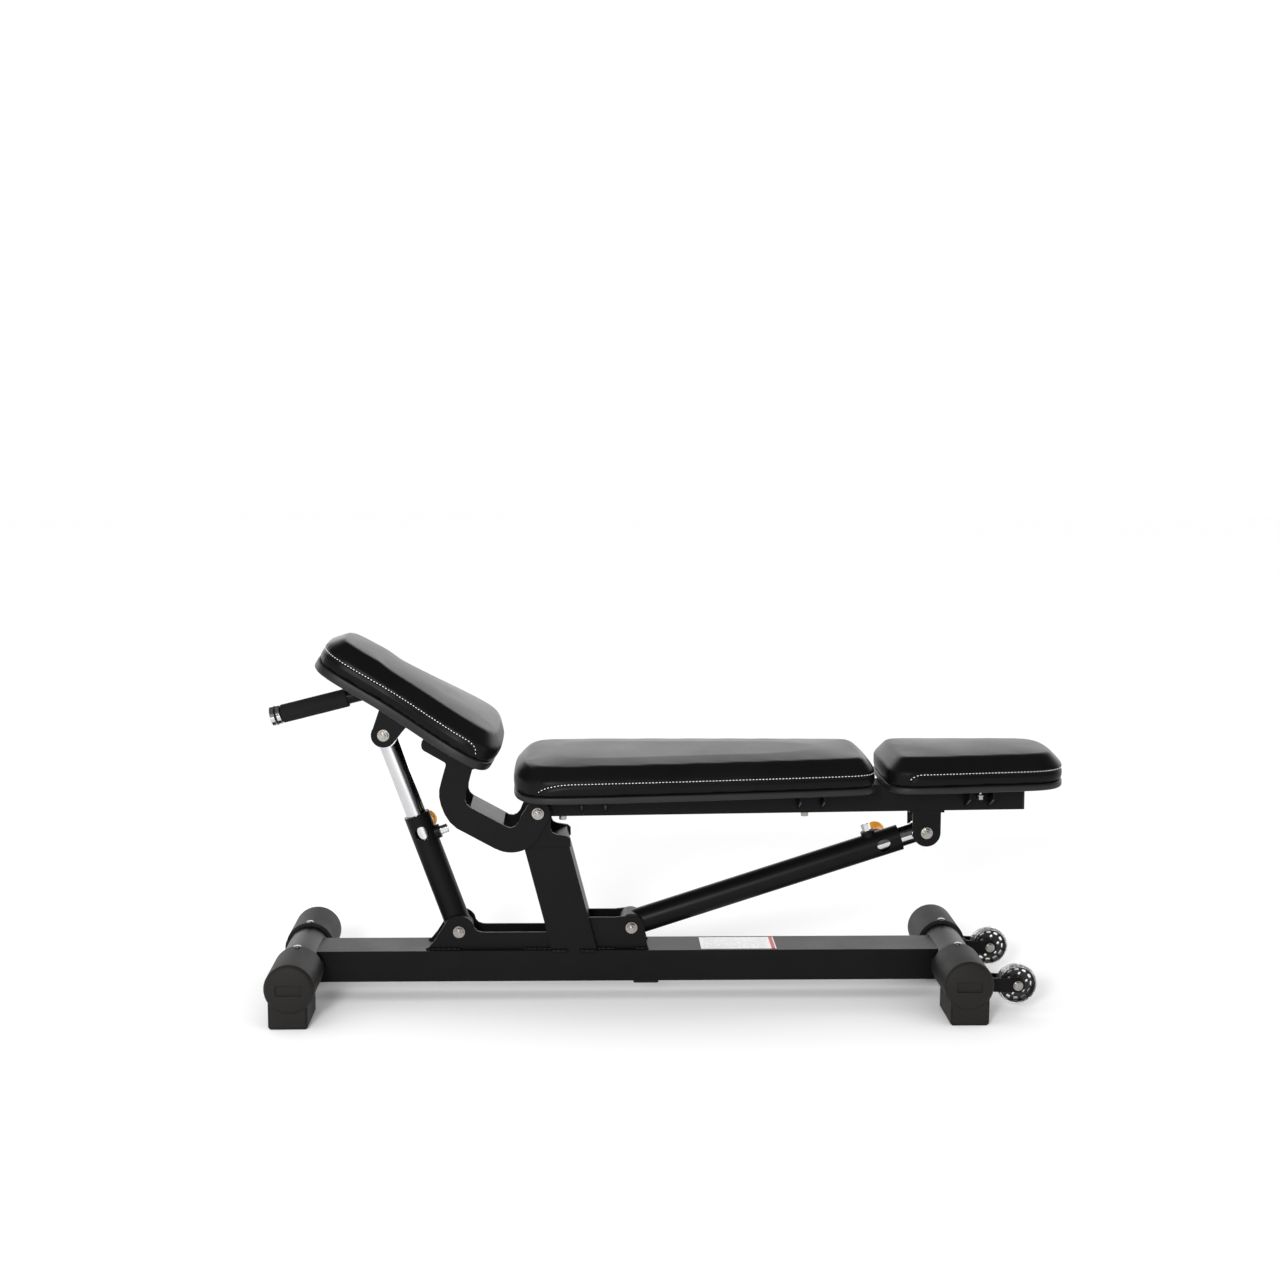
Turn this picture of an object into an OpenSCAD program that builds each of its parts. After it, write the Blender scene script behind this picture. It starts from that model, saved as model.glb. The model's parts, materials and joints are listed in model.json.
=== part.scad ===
// Decline sit up bench: two-pad back rest and a raised seat on telescopic struts.
// X runs from the handle end to the wheel end, Y across the bench, Z up. Millimetres.

/* [Base] */
// Distance from the handle foot to the wheel foot, centre to centre
foot_span = 1213; // [1100:1:1300]
// X of the handle foot
foot_x = -674; // [-700:1:-640]
// Height of the foot tube axis
foot_z = 74; // [70:1:80]
// Foot tube radius
foot_r = 38; // [30:0.5:45]
// Half length of the foot tubes
foot_half = 165; // [140:1:200]
// Rubber boot radius
boot_r = 45; // [42:0.5:50]
// Main beam width
beam_w = 86; // [70:1:100]
// Main beam underside height
beam_z0 = 40.5; // [38:0.5:60]
// Main beam top height
beam_z1 = 98.5; // [90:0.5:110]
// Main beam wall thickness
beam_t = 3; // [2:0.5:5]
// Post lean from vertical, degrees
post_lean = 14.6; // [10:0.1:20]
// Post depth along the bench
post_d = 81; // [70:1:90]
// X of the post where it meets the beam
post_x = -168.6; // [-180:0.1:-150]

/* [Pivots] */
// Main pivot X
main_x = -236; // [-250:1:-220]
// Main pivot height
main_z = 361; // [340:1:380]
// Seat strut lower pivot X
seat_low_x = -383; // [-400:1:-360]
// Seat strut lower pivot height
seat_low_z = 131; // [120:1:140]
// Seat strut upper pivot X
seat_top_x = -518; // [-530:1:-500]
// Seat strut upper pivot height
seat_top_z = 502; // [480:1:520]
// Back strut lower pivot X
back_low_x = -63; // [-80:1:-50]
// Back strut lower pivot height
back_low_z = 138; // [120:1:150]
// Back strut upper pivot X
back_top_x = 485; // [460:1:500]
// Back strut upper pivot height
back_top_z = 317; // [300:1:330]
// Pivot bolt shank radius
bolt_r = 6; // [5:0.5:8]
// Radial running clearance of pivots and slides
run = 0.05; // [0.02:0.01:0.1]

/* [Struts] */
// Outer strut tube radius
outer_r = 24; // [22:0.5:28]
// Outer strut tube wall
outer_t = 3; // [2:0.5:4]
// Inner strut tube radius
inner_r = 19; // [16:0.5:20]
// Inner strut tube wall
inner_t = 3; // [2:0.5:4]
// Seat strut, pivot to tube mouth
seat_mouth = 231; // [200:1:260]
// Seat strut, pivot to lower end of the inner tube
seat_tail = 157; // [150:1:170]
// Back strut, pivot to tube mouth
back_mouth = 529; // [500:1:545]
// Back strut, pivot to lower end of the inner tube
back_tail = 180; // [170:1:190]
// Spacing of the locking holes
hole_pitch = 36; // [30:1:45]

/* [Seat] */
// Seat slope in the raised rest position, degrees
seat_tilt = 30; // [20:1:35]
// Height of the seat board above the main pivot, square to the seat
seat_n = 37; // [30:1:45]
// Thickness of the pad boards
board_t = 12.5; // [10:0.5:18]
// Thickness of the cushions above the boards
foam_t = 53.5; // [40:0.5:60]

/* [Back] */
// Slope of the back frame at rest, degrees
back_tilt = 0.75; // [0:0.05:2]
// Width of the back frame tube
frame_w = 60; // [50:1:70]
// Frame tube underside, square to the frame, from the main pivot
frame_n0 = -11; // [-20:1:-5]
// Frame tube top, square to the frame, from the main pivot
frame_n1 = 39; // [30:1:45]
// Length of the frame tube past the main pivot
frame_len = 899; // [850:1:950]

/* [Wheels] */
// Wheel centre X
wheel_x = 640.5; // [620:0.5:660]
// Wheel centre height
wheel_z = 56; // [50:1:60]
// Wheel radius
wheel_r = 37; // [30:0.5:45]
// Distance of each wheel from the centre plane
wheel_y = 115; // [100:1:130]

/* [Hidden] */
$fn = 64;
foot2_x = foot_x + foot_span;
seat_ang = atan2(seat_top_z - seat_low_z, seat_top_x - seat_low_x);
seat_len = norm([seat_top_x - seat_low_x, seat_top_z - seat_low_z]);
back_ang = atan2(back_top_z - back_low_z, back_top_x - back_low_x);
back_len = norm([back_top_x - back_low_x, back_top_z - back_low_z]);
hub_r = wheel_r - 4;
rim_drop = 4;
rim_w = 8;
pin_back = 34;
seat_boss = 44;
back_boss = 55;
arm_spots = [102, 502, 813];
post_half = 43;
wheel_bore = 4;
lug_in = 26;
lug_out = 30;
lever_in = 49;
lever_out = 54;

BLACK = [0.055, 0.055, 0.06];
VINYL = [0.04, 0.04, 0.042];
BOARD = [0.025, 0.025, 0.027];
RUBBER = [0.075, 0.072, 0.07];
CHROME = [0.82, 0.82, 0.84];
STEEL = [0.7, 0.69, 0.67];
ORANGE = [0.95, 0.5, 0.02];
NYLON = [0.1, 0.1, 0.1];

// ---- frames and shapes ----
// A 2D outline in X and Z, given thickness from y0 to y1.
module xz(y0, y1) {
  translate([0, y1, 0]) rotate([90, 0, 0]) linear_extrude(y1 - y0) children();
}

// The same outline twice, mirrored across the centre plane.
module xz_pair(y0, y1) {
  xz(y0, y1) children();
  xz(-y1, -y0) children();
}

// A cylinder along Y.
module along_y(r, y0, y1) {
  translate([0, y1, 0]) rotate([90, 0, 0]) cylinder(r = r, h = y1 - y0);
}

// A cylinder along X.
module along_x(r, x0, x1) {
  translate([x0, 0, 0]) rotate([0, 90, 0]) cylinder(r = r, h = x1 - x0);
}

module box(x0, x1, y0, y1, z0, z1) {
  translate([x0, y0, z0]) cube([x1 - x0, y1 - y0, z1 - z0]);
}

module at_main() {
  translate([main_x, 0, main_z]) children();
}

module seat_space() {
  at_main() rotate([0, seat_tilt, 0]) children();
}

module back_space() {
  at_main() rotate([0, -back_tilt, 0]) children();
}

module seat_strut_space() {
  translate([seat_low_x, 0, seat_low_z]) rotate([0, -seat_ang, 0]) children();
}

module back_strut_space() {
  translate([back_low_x, 0, back_low_z]) rotate([0, -back_ang, 0]) children();
}

// A point given on the base, as it stands in a space turned by a about the main pivot.
function turned(x, z, a) = [(x - main_x) * cos(a) - (z - main_z) * sin(a),
  (x - main_x) * sin(a) + (z - main_z) * cos(a)];

// Points of an arc about c, from angle a to angle b.
function arc(c, r, a, b, n = 10) = [for (i = [0:n]) c + r * [cos(a + (b - a) * i / n), sin(a + (b - a) * i / n)]];

// A washer and hex nut outside a plate, with the bolt end past the nut. s is the side, 1 or -1.
module nut_stack(y, s) {
  scale([1, s, 1]) {
    along_y(11, y, y + 1.8);
    translate([0, y + 8.8, 0]) rotate([90, 15, 0]) cylinder(r = 8.9, h = 7, $fn = 6);
    along_y(bolt_r - 0.8, y + 8.8, y + 11.6);
    along_y(bolt_r - 2.2, y + 11.6, y + 12.8);
  }
}

// A washer and hex head outside a plate.
module head_stack(y, s) {
  scale([1, s, 1]) {
    along_y(11, y, y + 1.8);
    translate([0, y + 8.4, 0]) rotate([90, 15, 0]) cylinder(r = 8.9, h = 6.6, $fn = 6);
    along_y(6.6, y + 8.4, y + 9);
  }
}

// Full outline of a pad from half widths along it, rounded through its points.
function mirrored(h) = concat(h, [for (i = [len(h) - 1:-1:0]) [h[i][0], -h[i][1]]]);
function rounded(p, steps = 3) = [for (i = [0:len(p) - 1]) for (k = [0:steps - 1])
  let (n = len(p), a = p[(i + n - 1) % n], b = p[i], c = p[(i + 1) % n], d = p[(i + 2) % n], t = k / steps)
    0.5 * (2 * b + (c - a) * t + (2 * a - 5 * b + 4 * c - d) * pow(t, 2) + (3 * b - a - 3 * c + d) * pow(t, 3))];
function pad_line(h) = rounded(mirrored(h));

seat_outline = [[-486, 30], [-481, 58], [-469, 80], [-448, 93], [-420, 99], [-380, 102], [-345, 106],
  [-300, 119], [-260, 134], [-220, 147], [-188, 153], [-162, 151], [-141, 138], [-127, 112],
  [-120, 75], [-118, 30]];
back_outline = [[-43, 30], [-41, 75], [-33, 112], [-16, 140], [10, 154], [45, 158], [120, 156],
  [240, 149], [360, 140], [470, 131], [560, 122], [592, 115], [608, 100], [615, 75], [617, 30]];
head_outline = [[635, 30], [637, 78], [644, 100], [658, 113], [679, 118], [724, 117], [800, 111],
  [880, 105], [923, 98], [949, 82], [964, 55], [969, 20]];
nose_outline = [[-486, 30], [-481, 58], [-469, 80], [-448, 93], [-420, 99], [-380, 102], [-362, 60], [-358, 20]];

// A cushion: its outline at the board, bulging a little, then drawn in to a flat top.
module cushion(outline, n0, t, inset) {
  hull() {
    translate([0, 0, n0]) linear_extrude(1) offset(delta = -1) polygon(pad_line(outline));
    translate([0, 0, n0 + 8]) linear_extrude(t * 0.42) polygon(pad_line(outline));
    translate([0, 0, n0 + t * 0.78]) linear_extrude(1) offset(delta = -inset * 0.42) polygon(pad_line(outline));
    translate([0, 0, n0 + t - 1]) linear_extrude(1) offset(delta = -inset) polygon(pad_line(outline));
  }
}

module board(outline, n0) {
  translate([0, 0, n0]) linear_extrude(board_t) polygon(pad_line(outline));
}

// ---- base ----
module main_beam() {
  color(BLACK) difference() {
    box(foot_x, foot2_x, -beam_w / 2, beam_w / 2, beam_z0, beam_z1);
    box(foot_x - 1, foot2_x + 1, -beam_w / 2 + beam_t, beam_w / 2 - beam_t, beam_z0 + beam_t, beam_z1 - beam_t);
    for (x = [foot_x, foot2_x]) translate([x, 0, foot_z]) along_y(foot_r, -60, 60);
  }
}

module foot_tube(x) {
  color(BLACK) translate([x, 0, foot_z]) difference() {
    along_y(foot_r, -foot_half, foot_half);
    along_y(foot_r - 3, -foot_half - 1, foot_half + 1);
    for (s = [-1, 1]) translate([0, s * 78, 20]) cylinder(r = 3, h = 30);
  }
}

module left_foot_tube() {
  foot_tube(foot_x);
}

module right_foot_tube() {
  foot_tube(foot2_x);
}

// One rubber boot on the +Y end of a foot tube; out is the outward X direction.
module boot(out, forked) {
  block = [[-35, 0], [-35, -foot_z + 4], [-31, -foot_z], [31, -foot_z], [35, -foot_z + 4], [35, 0]];
  shoulder = [[-32, 0], [-32, -foot_z + 5], [-30, -foot_z + 3], [30, -foot_z + 3], [32, -foot_z + 5], [32, 0]];
  difference() {
    union() {
      rotate([-90, 0, 0]) rotate_extrude() polygon(concat([[0, 58], [boot_r - 1.5, 58], [boot_r, 59.5],
        [boot_r, 184], [boot_r - 0.6, 186], [boot_r - 2.2, 187.6]],
        [for (i = [1:5]) [(boot_r - 2.2) * cos(i * 15), 187.6 + 7.4 * sin(i * 15)]], [[0, 195]]));
      translate([out * 3, 0, 0]) xz(85, 183) polygon(block);
      translate([out * 3, 0, 0]) xz(82, 186) polygon(shoulder);
    }
    along_y(foot_r, 50, foot_half);
    box(-60, 60, 50, 73.5, 12, 60);
    translate([0, 78, 20]) cylinder(r = 3, h = 40);
    box(-23, 23, 191, 199, -9.5, 9.5);
    if (forked) box(0, 60, wheel_y - 17, wheel_y + 17, -34, 4);
  }
}

module boots(x, out, forked) {
  color(RUBBER) translate([x, 0, foot_z]) {
    boot(out, forked);
    mirror([0, 1, 0]) boot(out, forked);
  }
}

module left_boots() {
  boots(foot_x, -1, false);
}

module right_boots() {
  boots(foot2_x, 1, true);
}

module boot_screws() {
  color(STEEL) for (x = [foot_x, foot2_x]) for (s = [-1, 1]) translate([x, s * 78, foot_z]) {
    translate([0, 0, 34]) cylinder(r = 3, h = boot_r - 34);
    translate([0, 0, boot_r]) rotate_extrude() polygon([[0, 0], [6.8, 0], [6.8, 0.8], [5.8, 1.9], [3.8, 2.5], [0, 2.7]]);
  }
}

module post_space() {
  translate([post_x, 0, beam_z1]) rotate([0, -post_lean, 0]) children();
}

module post() {
  color(BLACK) difference() {
    post_space() box(-post_d / 2, post_d / 2, -post_half, post_half, -40, 214);
    post_space() box(-post_d / 2 + 4, post_d / 2 - 4, -post_half + 4, post_half - 4, -41, 210);
    box(post_x - 120, post_x + 120, -60, 60, 0, beam_z1);
  }
}

module post_head_plates() {
  head = concat([[-176, 297], [-176.5, 312.5], [-182, 317], [-203, 320.5], [-209.5, 324], [-212.5, 331]],
    arc([main_x, main_z], 23.8, -8, 188, 18), [[-262.5, 331], [-262.5, 297]]);
  color(BLACK) difference() {
    xz_pair(post_half, post_half + 5) polygon(head);
    at_main() along_y(bolt_r + run, -60, 60);
  }
}

function post_face(z, s) = post_x - tan(post_lean) * (z - beam_z1) + s * post_d / 2 / cos(post_lean);

module seat_strut_lugs() {
  c = [seat_low_x, seat_low_z];
  lug = concat([[seat_low_x - 62, beam_z1], [seat_low_x - 58, 101], [seat_low_x - 54, 104.5], [seat_low_x - 44, 117]],
    arc(c, 30.5, 138, 32, 14), [[-355, 139], [-350, 133.5], [-342, 130.5], [-334, 130]],
    [[post_face(130, -1), 130], [post_face(beam_z1, -1), beam_z1]]);
  color(BLACK) difference() {
    xz_pair(lug_in, lug_out) polygon(lug);
    translate([seat_low_x, 0, seat_low_z]) along_y(bolt_r + run, -60, 60);
  }
}

module back_strut_lugs() {
  c = [back_low_x, back_low_z];
  lug = concat([[post_face(beam_z1, 1), beam_z1], [post_face(158, 1), 158], [-92, 158], [-84, 159]],
    arc(c, 24, 112, 0, 14), [[-37.5, 122], [-31.5, beam_z1]]);
  color(BLACK) difference() {
    xz_pair(lug_in, lug_out) polygon(lug);
    translate([back_low_x, 0, back_low_z]) along_y(bolt_r + run, -60, 60);
  }
}

module beam_bumper() {
  color(RUBBER) xz(-32, 32) polygon([[-59, beam_z0], [-59, beam_z0 - 6], [-57, beam_z0 - 8], [-14, beam_z0 - 8],
    [-12, beam_z0 - 6], [-12, beam_z0]]);
}

module beam_label() {
  color([0.9, 0.9, 0.9]) box(67, 208, -36, 36, beam_z1, beam_z1 + 0.4);
}

module wheel_forks() {
  side = concat([[560, 76], [560, 47], [600, 44.5]], arc([wheel_x, wheel_z], 12.5, -95, 85, 14), [[600, 70]]);
  color(BLACK) for (s = [-1, 1]) difference() {
    union() {
      xz(s * wheel_y + 13, s * wheel_y + 16) polygon(side);
      xz(s * wheel_y - 16, s * wheel_y - 13) polygon(side);
      box(570, 584, s * wheel_y - 13, s * wheel_y + 13, 48, 72);
    }
    translate([foot2_x, 0, foot_z]) along_y(foot_r, -160, 160);
    translate([wheel_x, 0, wheel_z]) along_y(wheel_bore + run, -160, 160);
  }
}

module wheel_axles() {
  color(STEEL) for (s = [-1, 1]) translate([wheel_x, s * wheel_y, wheel_z]) {
    along_y(wheel_bore, -16, 16);
    for (t = [-1, 1]) {
      scale([1, t, 1]) along_y(9, 16, 18);
      scale([1, t, 1]) along_y(7, 18, 21);
      scale([1, t, 1]) along_y(6.2, 11.1, 13);
    }
  }
}

module strut_low_bolts() {
  color(STEEL) for (p = [[seat_low_x, seat_low_z], [back_low_x, back_low_z]]) translate([p[0], 0, p[1]]) {
    along_y(bolt_r, -lug_out, lug_out);
    nut_stack(lug_out, -1);
    head_stack(lug_out, 1);
  }
}

module main_pivot_bolt() {
  color(STEEL) at_main() {
    along_y(bolt_r, -lever_out - 0.3, lever_out + 0.3);
    nut_stack(lever_out + 0.3, -1);
    head_stack(lever_out + 0.3, 1);
  }
}

// ---- wheels ----
module hub(y) {
  color(NYLON) translate([wheel_x, y, wheel_z]) difference() {
    union() {
      along_y(hub_r, -3, 3);
      difference() {
        along_y(hub_r, -9.5, 9.5);
        along_y(hub_r - 2.5, -12, 12);
      }
      along_y(15, -11, 11);
    }
    along_y(11, -20, -4);
    along_y(11, 4, 20);
    along_y(8, -20, 20);
    for (i = [0:11]) rotate([0, i * 30, 0]) box(-4.6, 4.6, -20, 20, hub_r - 8, hub_r - 3.8);
    for (i = [0:5]) rotate([0, i * 60 + 15, 0]) translate([0, 0, 19.6]) along_y(3, -20, 20);
  }
}

module tyre(y) {
  color([0.85, 0.86, 0.84]) translate([wheel_x, y, wheel_z]) rotate([90, 0, 0]) rotate_extrude()
    polygon([[hub_r, -10], [hub_r + 0.8, -11], [wheel_r - 2, -10], [wheel_r - 0.9, -7.5], [wheel_r - 0.3, -4.2],
      [wheel_r, 0], [wheel_r - 0.3, 4.2], [wheel_r - 0.9, 7.5], [wheel_r - 2, 10], [hub_r + 0.8, 11], [hub_r, 10]]);
}

module bearings(y) {
  color(STEEL) translate([wheel_x, y, wheel_z]) for (s = [-1, 1]) difference() {
    scale([1, s, 1]) along_y(11, 4, 11);
    along_y(wheel_bore + run, -20, 20);
    scale([1, s, 1]) difference() {
      along_y(9.6, 10.4, 12);
      along_y(6.2, 10, 13);
    }
  }
}

module wheel_hub_near() {
  hub(-wheel_y);
}

module wheel_tyre_near() {
  tyre(-wheel_y);
}

module wheel_bearings_near() {
  bearings(-wheel_y);
}

module wheel_hub_far() {
  hub(wheel_y);
}

module wheel_tyre_far() {
  tyre(wheel_y);
}

module wheel_bearings_far() {
  bearings(wheel_y);
}

// ---- seat ----
// J-shaped lever plate, from the main pivot down, across and up to the seat.
lever_outline = concat(
  [[-414, 462], [-405, 457.5], [-403, 452], [-412, 420], [-415.5, 405], [-415.6, 392], [-412.5, 377], [-406, 360],
    [-396.5, 345], [-384, 333.5], [-313, 294.6]],
  arc([-284.8, 347.5], 59.5, 241, 325, 12),
  arc([main_x, main_z], 23, -30, 150, 16),
  [[-266, 358], [-271.5, 344.5], [-277, 337.8], [-284.6, 334.5], [-292, 335.5], [-299, 339.5], [-359, 372.5],
    [-365.5, 378.5], [-368.5, 386], [-368, 396], [-365, 408], [-356, 441]]);

module lever_plate() {
  difference() {
    polygon(lever_outline);
    translate([main_x, main_z]) circle(r = bolt_r + run);
  }
}

// The strip along the seat that carries the lever plate, in seat space.
strip_outline = [[-238, -2], [-243, 0], [-247, 5], [-249, 11], [-249, 37], [-140, 37], [-140, 16], [-150, 5], [-190, -2]];

module seat_lever(y0, y1) {
  color(BLACK) {
    xz(y0, y1) lever_plate();
    seat_space() xz(y0, y1) polygon(strip_outline);
  }
}

module seat_lever_near() {
  seat_lever(-lever_out, -lever_in);
}

module seat_lever_far() {
  seat_lever(lever_in, lever_out);
}

module seat_lever_box() {
  color(BLACK) translate([-359, 0, 372.5]) rotate([0, 28.8, 0]) difference() {
    box(0, 68.5, -lever_in, lever_in, -32, 0);
    box(3, 65.5, -lever_in - 1, lever_in + 1, -29, -3);
  }
}

module seat_plate() {
  color(BLACK) seat_space() box(-412, -145, -lever_in, lever_in, 31, seat_n);
}

module seat_strut_bracket() {
  c = turned(seat_top_x, seat_top_z, seat_tilt);
  side = concat([[-347, 31], [-344, 15]], arc(c, 23, 175, 355, 18), [[-288, 5], [-283, 31]]);
  color(BLACK) seat_space() difference() {
    xz_pair(lug_in, lug_out) polygon(side);
    translate([c[0], 0, c[1]]) along_y(bolt_r + run, -60, 60);
  }
}

module seat_bracket_bolts() {
  color(STEEL) translate([seat_top_x, 0, seat_top_z]) {
    for (s = [-1, 1]) scale([1, s, 1]) along_y(bolt_r, lug_in + 0.2, lug_out);
    nut_stack(lug_out, -1);
    head_stack(lug_out, 1);
  }
}

// Handle: local X runs out of the seat board towards the hand end.
module handle_space() {
  translate([-540, 0, 579]) rotate([0, -194.3, 0]) children();
}

module handle_tube() {
  color(BLACK) difference() {
    handle_space() along_x(12.5, -20, 172);
    handle_space() along_x(10, -21, 171);
    seat_space() box(-500, -200, -40, 40, 31, 120);
  }
}

module handle_grip() {
  color([0.03, 0.03, 0.03]) handle_space() difference() {
    rotate([0, 90, 0]) rotate_extrude() polygon([[0, 47], [16, 47], [17, 48], [17, 169.5], [16, 170.5], [0, 170.5]]);
    along_x(12.5, 40, 180);
  }
}

module handle_cap() {
  color(CHROME) handle_space() difference() {
    rotate([0, 90, 0]) rotate_extrude() polygon([[0, 172], [17.4, 172], [18, 172.6], [18, 178.8], [17.4, 179.4],
      [15.6, 179.4], [15.6, 182.6], [17.6, 182.6], [18.4, 183.4], [18.4, 190.4], [17.4, 191.4], [0, 191.4]]);
    rotate([0, 90, 0]) translate([0, 0, 188.4]) rotate_extrude() polygon([[8, 0], [13, 0], [13, 9], [8, 9]]);
  }
}

module seat_pad_board() {
  color(BOARD) seat_space() {
    board(seat_outline, seat_n);
    translate([0, 0, seat_n - rim_drop]) linear_extrude(rim_drop) difference() {
      polygon(pad_line(seat_outline));
      offset(delta = -rim_w) polygon(pad_line(seat_outline));
    }
  }
}

module seat_pad() {
  color(VINYL) seat_space() {
    cushion(seat_outline, seat_n + board_t, foam_t, 24);
    cushion(nose_outline, seat_n + board_t, foam_t + 4, 24);
  }
}

module seat_pad_screws() {
  color(STEEL) seat_space() for (x = [-398, -262]) for (s = [-1, 1]) translate([x, s * 38, 24]) {
    cylinder(r = 7, h = 6, $fn = 6);
    translate([0, 0, 6]) cylinder(r = 8.5, h = 1);
  }
}

// ---- back ----
module back_frame() {
  color(BLACK) back_space() difference() {
    box(-26, frame_len, -frame_w / 2, frame_w / 2, frame_n0, frame_n1);
    box(-27, frame_len + 1, -frame_w / 2 + 3, frame_w / 2 - 3, frame_n0 + 3, frame_n1 - 3);
    along_y(8, -60, 60);
  }
}

module back_frame_bushing() {
  color(NYLON) back_space() difference() {
    along_y(8, -42.6, 42.6);
    along_y(bolt_r + run, -60, 60);
  }
}

module back_frame_cap() {
  color(NYLON) back_space() {
    box(frame_len, frame_len + 3, -frame_w / 2, frame_w / 2, frame_n0, frame_n1);
    box(frame_len - 18, frame_len, -frame_w / 2 + 3, frame_w / 2 - 3, frame_n0 + 3, frame_n1 - 3);
  }
}

// One pair of sloped arms that carry a pad board, about x.
module arm_pair(x) {
  fin = [[frame_w / 2, -4], [73, 17.5], [75, 20], [75, frame_n1], [frame_w / 2, frame_n1]];
  for (s = [-1, 1]) scale([1, s, 1]) {
    for (dx = [-23.5, 20]) translate([x + dx, 0, 0]) rotate([90, 0, 90]) linear_extrude(3.5) polygon(fin);
    box(x - 20, x + 20, frame_w / 2, 75, frame_n1 - 3, frame_n1);
  }
}

module pad_arms() {
  color(BLACK) back_space() for (x = arm_spots) arm_pair(x);
}

module back_strut_bracket() {
  c = turned(back_top_x, back_top_z, -back_tilt);
  side = concat([[694, frame_n0 - 4], [694.3, -44]], arc(c, 26, 180, 360, 20), [[746.6, frame_n0 - 4]]);
  color(BLACK) back_space() {
    difference() {
      xz_pair(lug_in, lug_out) polygon(side);
      translate([c[0], 0, c[1]]) along_y(bolt_r + run, -60, 60);
    }
    box(688, 753, -lug_out, lug_out, frame_n0 - 4, frame_n0);
  }
}

module back_bracket_bolts() {
  color(STEEL) translate([back_top_x, 0, back_top_z]) {
    for (s = [-1, 1]) scale([1, s, 1]) along_y(bolt_r, lug_in + 0.2, lug_out);
    nut_stack(lug_out, -1);
    head_stack(lug_out, 1);
  }
}

module back_pad_board() {
  color(BOARD) back_space() board(back_outline, frame_n1);
}

module back_pad() {
  color(VINYL) back_space() cushion(back_outline, frame_n1 + board_t, foam_t, 24);
}

module head_pad_board() {
  color(BOARD) back_space() board(head_outline, frame_n1);
}

module head_pad() {
  color(VINYL) back_space() cushion(head_outline, frame_n1 + board_t, foam_t, 24);
}

// A hex bolt head and washer under a plate, hanging by drop below it.
module bolt_under(drop) {
  translate([0, 0, -drop]) cylinder(r = 7, h = 7, $fn = 6);
  translate([0, 0, 7 - drop]) cylinder(r = 9, h = 1.5);
  if (drop > 8.5) translate([0, 0, 8.5 - drop]) cylinder(r = 4, h = drop - 8.5);
}

module pad_bolts() {
  color(STEEL) back_space() {
    for (x = [45, 496]) translate([x, 0, frame_n0]) bolt_under(13);
    for (x = arm_spots) for (s = [-1, 1]) translate([x, s * 58, frame_n1 - 3]) bolt_under(x > 800 ? 20 : 9);
  }
}

// ---- struts ----
// Outer tube with its cross sleeve, pin barrel and tension boss; side is the boss direction.
module strut_outer(mouth, boss, side) {
  color(BLACK) difference() {
    union() {
      along_x(outer_r, 0, mouth);
      along_y(25, -25.5, 25.5);
      translate([mouth - pin_back, 0, 0]) along_y(11, 15, 60);
      translate([mouth - boss, 0, 0]) scale([1, 1, side]) cylinder(r = 13, h = 30.5);
    }
    along_x(outer_r - outer_t, 27, mouth + 1);
    along_y(bolt_r + run, -60, 60);
    translate([mouth - pin_back, 0, 0]) along_y(12.8, -40, 0);
    translate([mouth - pin_back, 0, 0]) along_y(5 + run, 0, 70);
    translate([mouth - boss, 0, 0]) scale([1, 1, side]) cylinder(r = 4, h = 40);
  }
}

module strut_bush(mouth) {
  color(NYLON) difference() {
    along_x(outer_r - outer_t, mouth - 18, mouth);
    along_x(inner_r + run, mouth - 19, mouth + 1);
  }
}

// Inner tube from its tail to the upper cross sleeve, with locking holes on the far side.
module strut_inner(mouth, tail, len) {
  color(CHROME) difference() {
    union() {
      along_x(inner_r, tail, len);
      translate([len, 0, 0]) along_y(25, -25.5, 25.5);
    }
    along_x(inner_r - inner_t, tail - 1, len - 27);
    translate([len, 0, 0]) along_y(bolt_r + run, -60, 60);
    for (x = [mouth - pin_back:-hole_pitch:tail + 10]) translate([x, 0, 0]) along_y(5.2, 0, 30);
  }
}

module tension_bolt(mouth, boss, side) {
  color(CHROME) translate([mouth - boss, 0, 0]) scale([1, 1, side]) {
    translate([0, 0, 21.3]) cylinder(r = 4, h = 9.2);
    translate([0, 0, 30.5]) cylinder(r = 8.4, h = 15, $fn = 6);
    translate([0, 0, 45.5]) cylinder(r = 6.6, h = 0.8);
  }
}

module pull_pin(mouth) {
  color(STEEL) translate([mouth - pin_back, 0, 0]) along_y(5, inner_r + 0.4, 78);
}

module knob(mouth) {
  color(ORANGE) translate([mouth - pin_back, 0, 0]) rotate([-90, 0, 0]) rotate_extrude() polygon([[5, 61], [12, 61],
    [12.5, 72], [14, 79], [17.5, 84], [19, 88], [19, 92], [17.6, 96], [14, 99], [8, 101], [0, 101.6], [0, 78], [5, 78]]);
}

module seat_strut_outer() {
  seat_strut_space() strut_outer(seat_mouth, seat_boss, -1);
}

module seat_strut_bush() {
  seat_strut_space() strut_bush(seat_mouth);
}

module seat_strut_inner() {
  seat_strut_space() strut_inner(seat_mouth, seat_tail, seat_len);
}

module seat_tension_bolt() {
  seat_strut_space() tension_bolt(seat_mouth, seat_boss, -1);
}

module seat_pin() {
  seat_strut_space() pull_pin(seat_mouth);
}

module seat_knob() {
  seat_strut_space() knob(seat_mouth);
}

module back_strut_outer() {
  back_strut_space() strut_outer(back_mouth, back_boss, 1);
}

module back_strut_bush() {
  back_strut_space() strut_bush(back_mouth);
}

module back_strut_inner() {
  back_strut_space() strut_inner(back_mouth, back_tail, back_len);
}

module back_tension_bolt() {
  back_strut_space() tension_bolt(back_mouth, back_boss, 1);
}

module back_pin() {
  back_strut_space() pull_pin(back_mouth);
}

module back_knob() {
  back_strut_space() knob(back_mouth);
}

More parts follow.
